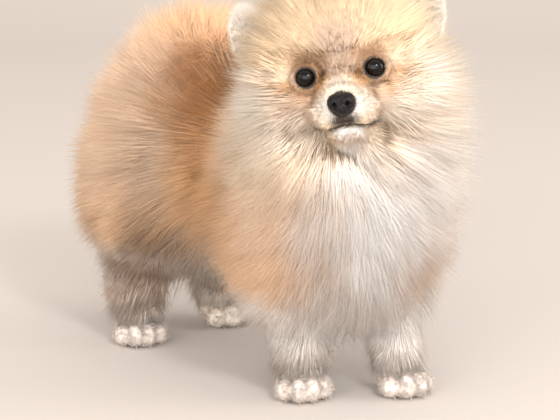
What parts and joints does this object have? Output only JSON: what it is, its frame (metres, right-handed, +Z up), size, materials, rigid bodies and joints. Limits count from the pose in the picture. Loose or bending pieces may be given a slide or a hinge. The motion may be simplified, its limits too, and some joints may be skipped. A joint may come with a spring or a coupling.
{
  "type": "pomeranian puppy, still life-size model",
  "caption": "Still life-size model of a fluffy pomeranian puppy that stands on all four paws with its head turned to its right.",
  "frame": {"origin": "middle of the model's box, on the floor that the paws stand on", "axes": "+Z up, -Y the way the dog stands facing, +X to its left"},
  "size_m": [0.1506, 0.3022, 0.248],
  "materials": {
    "coat": "soft long apricot fur, grey-shaded on the flank",
    "cream_coat": "short cream fur of the feet",
    "pale_coat": "fine whitish fur of the ears",
    "eye": "wet dark eye",
    "nose": "moist black grained nose"
  },
  "bodies": {
    "root": {"head": "coat", "neck": "coat", "torso": "coat", "tail": "coat", "foreleg_left": "coat", "foreleg_right": "coat", "hindleg_left": "coat", "hindleg_right": "coat", "forepaw_left": "cream_coat", "forepaw_right": "cream_coat", "hindpaw_left": "cream_coat", "hindpaw_right": "cream_coat", "ear_left": "pale_coat", "ear_right": "pale_coat", "eye_left": "eye", "eye_right": "eye", "nose": "nose"}
  },
  "joints": []
}
